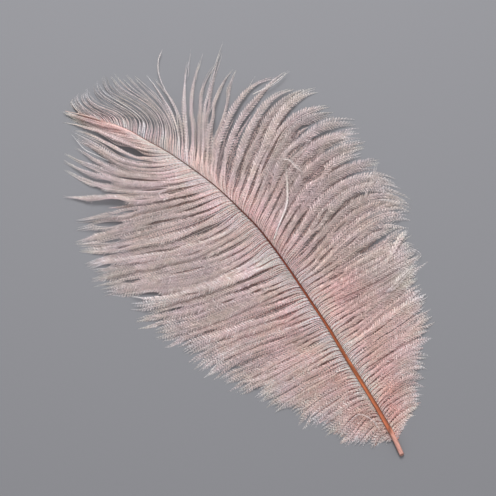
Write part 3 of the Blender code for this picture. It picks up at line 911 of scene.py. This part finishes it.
# Its groove, painted darker as shade in it: station, degrees round from the left side over the top, how dark (0 to 1)
SHAFT_GROOVE = (
    (0, 0, 0.45),
    (15, 0, 0.45),
    (21, 150, 0.55),
    (50, 150, 0.55),
    (68, 60, 0.45),
    (85, 125, 0.60),
    (130, 140, 0.75),
    (180, 130, 0.60),
    (306, 130, 0.20),
)
SHAFT_SIDES = 24
SHAFT_RINGS = 420
# Its radius, for that of the solid: station, share
SHAFT_FINENESS = ((0, 0.95), (10, 0.93), (30, 0.82), (60, 0.76), (95, 0.70), (150, 0.66), (200, 0.62), (306, 0.62))
# Painted shade: the shaft's sides are painted darker than its top
SHAFT_EDGE_PAINTED_SHADE = 0.55  # how much darker its edges are than its top
CUT_SLOPE = 0.5  # how far the quill's cut end leans back, for its height
HOLLOW = 0.62  # the hollow at the cut end, for the quill's radius
HOLLOW_DEPTH = 4.0


def shaft_mesh(rng):
    """The bare quill, cut and hollow at its end, and the shaft, as one tube that narrows to the tip."""
    stations = np.linspace(0, SHAFT_STATIONS[-1], SHAFT_RINGS)
    points, radii, ahead = on_the_shaft(stations)
    radii = radii * graph(SHAFT_FINENESS, stations)
    aside = unit(np.cross((0.0, 0.0, 1.0), ahead))
    up = np.cross(ahead, aside)
    angles = np.arange(SHAFT_SIDES) * 360 / SHAFT_SIDES
    turn = np.radians(angles)
    ring = aside[:, None] * np.cos(turn)[None, :, None] + up[:, None] * np.sin(turn)[None, :, None]
    colour = np.stack([graph([(row[0], row[1][c]) for row in SHAFT_COLOURS], stations) for c in range(3)], axis=1)
    rows = np.array(SHAFT_GROOVE, float)
    groove = np.interp(stations, rows[:, 0], rows[:, 1])[:, None]
    # How dark the groove is painted: painted shade in it
    groove_painted_shade = np.interp(stations, rows[:, 0], rows[:, 2])[:, None]
    off = (angles[None, :] - groove + 180) % 360 - 180
    band = np.exp(-((off / 38) ** 2))
    # Painted highlight: light bands beside the groove, on the shaft's upper side
    shaft_painted_highlight = np.exp(-(((np.abs(off) - 95) / 35) ** 2)) * smoothstep(0, 1, np.sin(turn)[None, :] + 0.4)
    streaks = 1 + 0.10 * rng.normal(0, 1, SHAFT_SIDES)[None, :] + 0.05 * rng.normal(0, 1, (SHAFT_RINGS, SHAFT_SIDES))
    # Painted shade on the shaft's sides
    edge_painted_shade = smoothstep(0.55, 0.95, np.abs(np.cos(turn)))[None, :] * smoothstep(12, 24, stations)[:, None]
    shade = (1 - 0.7 * groove_painted_shade * band + 0.45 * shaft_painted_highlight) * streaks * (1 - SHAFT_EDGE_PAINTED_SHADE * edge_painted_shade)
    colours = np.clip(colour[:, None] * shade[..., None], 0.01, 1)
    deep = radii[:, None] * (1 - 0.16 * band * (radii[:, None] > 0.5))
    vertices = points[:, None] + ring * deep[..., None]

    mouth = vertices[0].copy()
    lean = (vertices[:, :, 2] - points[:, None, 2]) * CUT_SLOPE * (1 - smoothstep(0, 4, stations))[:, None]
    vertices = vertices + ahead[:, None] * (lean + radii[0] * CUT_SLOPE * (1 - smoothstep(0, 4, stations))[:, None])[..., None]
    rim = points[0] + (vertices[0] - points[0]) * (HOLLOW, HOLLOW, HOLLOW)
    rim = vertices[0] + (points[0] - mouth) * (1 - HOLLOW)
    bottom = rim + ahead[0] * HOLLOW_DEPTH
    vertices = np.concatenate([bottom[None], rim[None], vertices])
    inner = np.tile(colour[0] * 1.15, (SHAFT_SIDES, 1))
    # The hollow's bottom is painted nearly black: painted shade deep in it
    colours = np.concatenate([(inner * 0.12)[None], inner[None], colours])
    rings = len(vertices)
    vertices = vertices.reshape(-1, 3)
    vertices[:, 2] = np.maximum(vertices[:, 2], 0)
    i, j = np.meshgrid(np.arange(rings - 1), np.arange(SHAFT_SIDES), indexing="ij")
    a = (i * SHAFT_SIDES + j).ravel()
    b = (i * SHAFT_SIDES + (j + 1) % SHAFT_SIDES).ravel()
    faces = [np.stack([a, b, b + SHAFT_SIDES], axis=1), np.stack([a, b + SHAFT_SIDES, a + SHAFT_SIDES], axis=1)]
    for start, flip in ((0, 1), ((rings - 1) * SHAFT_SIDES, -1)):
        fan = np.arange(1, SHAFT_SIDES - 1)
        cap = np.stack([np.zeros_like(fan), fan + 1, fan], axis=1)[:, ::flip] + start
        faces.append(cap)
    return vertices, np.concatenate(faces), colours.reshape(-1, 3)


def new_shaft_material():
    made = bpy.data.materials.new("copper shaft")
    made.use_nodes = True
    nodes, links = made.node_tree.nodes, made.node_tree.links
    shader = nodes["Principled BSDF"]
    shader.inputs["Roughness"].default_value = 0.36
    shader.inputs["Specular IOR Level"].default_value = 0.35
    tone = nodes.new("ShaderNodeAttribute")
    tone.attribute_name = "tone"
    place = nodes.new("ShaderNodeTexCoord")
    stretch = nodes.new("ShaderNodeMapping")
    stretch.inputs["Scale"].default_value = (90.0, 900.0, 900.0)
    links.new(place.outputs["Object"], stretch.inputs["Vector"])
    grain = nodes.new("ShaderNodeTexNoise")
    grain.inputs["Scale"].default_value = 1.0
    grain.inputs["Detail"].default_value = 4.0
    links.new(stretch.outputs["Vector"], grain.inputs["Vector"])
    ramp = nodes.new("ShaderNodeMapRange")
    ramp.inputs["From Min"].default_value = 0.3
    ramp.inputs["From Max"].default_value = 0.7
    ramp.inputs["To Min"].default_value = 0.75
    ramp.inputs["To Max"].default_value = 1.2
    links.new(grain.outputs["Fac"], ramp.inputs["Value"])
    mix = nodes.new("ShaderNodeVectorMath")
    mix.operation = "SCALE"
    links.new(tone.outputs["Color"], mix.inputs[0])
    links.new(ramp.outputs["Result"], mix.inputs["Scale"])
    links.new(mix.outputs["Vector"], shader.inputs["Base Color"])
    bump = nodes.new("ShaderNodeBump")
    bump.inputs["Strength"].default_value = 0.3
    bump.inputs["Distance"].default_value = 0.0002
    links.new(grain.outputs["Fac"], bump.inputs["Height"])
    links.new(bump.outputs["Normal"], shader.inputs["Normal"])
    return made


PIECE_BORDERS = (0, 60, 105, 145, 185, 225, 400)


def strand_meshes(barbs, rng):
    """The barbs as tubes, and their barbules."""
    colours = barb_colours(barbs, rng)
    radii = BARB_RADIUS * barbs["thickness"][:, None] * (1 - 0.45 * barbs["ends"])
    radii = radii * (1 - 0.75 * smoothstep(0.9, 1.0, barbs["ends"]))
    # Painted highlight: the barbs' tubes are lighter than their barbules, most near the shaft
    highlight_paint = BARB_PAINTED_HIGHLIGHT + (ROOT_PAINTED_HIGHLIGHT - BARB_PAINTED_HIGHLIGHT) * (1 - smoothstep(0.05, 0.3, barbs["shares"]))[..., None]
    return [tubes(barbs["points"], radii, np.clip(colours * highlight_paint, 0, 1)), barbules(barbs, colours, rng)]


def build_vane(side, vane, seed, material):
    """One vane's barbs and barbules, in pieces from the quill to the tip."""
    rng = np.random.default_rng(seed)
    layers = [vane_barbs(vane, lower, rng) for lower in (False, True)]
    for number, (low, high) in enumerate(zip(PIECE_BORDERS, PIECE_BORDERS[1:]), 1):
        made = []
        for barbs in layers:
            here = (barbs["stations"] >= low) & (barbs["stations"] < high)
            made += strand_meshes({name: values[here] for name, values in barbs.items()}, rng)
        piece = new_piece(f"{side}_vane_{number}", joined(made), material)
        print(piece.name, len(piece.data.polygons), "triangles")


def build_loose_barbs(seed, material):
    rng = np.random.default_rng(seed)
    made = []
    for number, row in enumerate(LOOSE):
        made += strand_meshes(loose_barbs(row, number, rng), rng)
    new_piece("loose_barbs", joined(made), material)


def new_floor():
    bpy.ops.mesh.primitive_plane_add(size=6.0, location=(0, 0, 0))
    floor = bpy.context.active_object
    floor.name = "floor"
    made = bpy.data.materials.new("plain floor")
    made.use_nodes = True
    shader = made.node_tree.nodes["Principled BSDF"]
    shader.inputs["Base Color"].default_value = (0.205, 0.205, 0.219, 1)
    shader.inputs["Roughness"].default_value = 0.9
    floor.data.materials.append(made)


def new_light(name, size, power, azimuth, elevation, distance):
    data = bpy.data.lights.new(name, "AREA")
    data.shape = "DISK"
    data.size = size
    data.energy = power
    lamp = bpy.data.objects.new(name, data)
    a, e = math.radians(azimuth), math.radians(elevation)
    lamp.location = Vector((math.cos(a) * math.cos(e), math.sin(a) * math.cos(e), math.sin(e))) * distance
    lamp.rotation_euler = (-lamp.location).to_track_quat("-Z", "Y").to_euler()
    bpy.context.scene.collection.objects.link(lamp)


def new_world(strength):
    world = bpy.data.worlds.new("studio")
    bpy.context.scene.world = world
    world.use_nodes = True
    back = world.node_tree.nodes["Background"]
    back.inputs["Color"].default_value = (0.97, 0.98, 1.0, 1)
    back.inputs["Strength"].default_value = strength


PHOTO_TURN = 225.59  # degrees: how the feather lies in the view
VIEW_MIDDLE = (6.84, 8.45)  # mm, the point under the view's middle
VIEW_WIDTH = 309.0  # mm across the view, at the surface
CAMERA_HEIGHT = 1.3


def new_camera():
    data = bpy.data.cameras.new("camera")
    data.sensor_width = 36.0
    data.lens = data.sensor_width * CAMERA_HEIGHT / (VIEW_WIDTH * MM)
    camera = bpy.data.objects.new("camera", data)
    camera.location = (VIEW_MIDDLE[0] * MM, VIEW_MIDDLE[1] * MM, CAMERA_HEIGHT)
    camera.rotation_euler = (0, 0, math.radians(PHOTO_TURN))
    bpy.context.scene.collection.objects.link(camera)
    bpy.context.scene.camera = camera


barb_material = new_barb_material()
build_vane("left", Vane(LEFT_LOCKS, LEFT_HABITS, LEFT_GAPS, LEFT_PINK, LEFT_PAINTED_LIGHT_AND_SHADE, LEFT_SPREAD, LEFT_LOWER_PAINTED_SHADE, LEFT_TAPER), 11, barb_material)
build_vane("right", Vane(RIGHT_LOCKS, RIGHT_HABITS, RIGHT_GAPS, RIGHT_PINK, RIGHT_PAINTED_LIGHT_AND_SHADE, RIGHT_SPREAD, RIGHT_LOWER_PAINTED_SHADE, RIGHT_TAPER), 23, barb_material)
build_loose_barbs(37, barb_material)
shaft = new_piece("shaft", shaft_mesh(np.random.default_rng(5)), new_shaft_material())
shaft.data.shade_smooth()
new_floor()
new_light("key", 0.5, 17.1, PHOTO_TURN + 94, 50, 1.3)
new_world(0.6)
new_camera()
bpy.context.scene.view_settings.view_transform = "Standard"
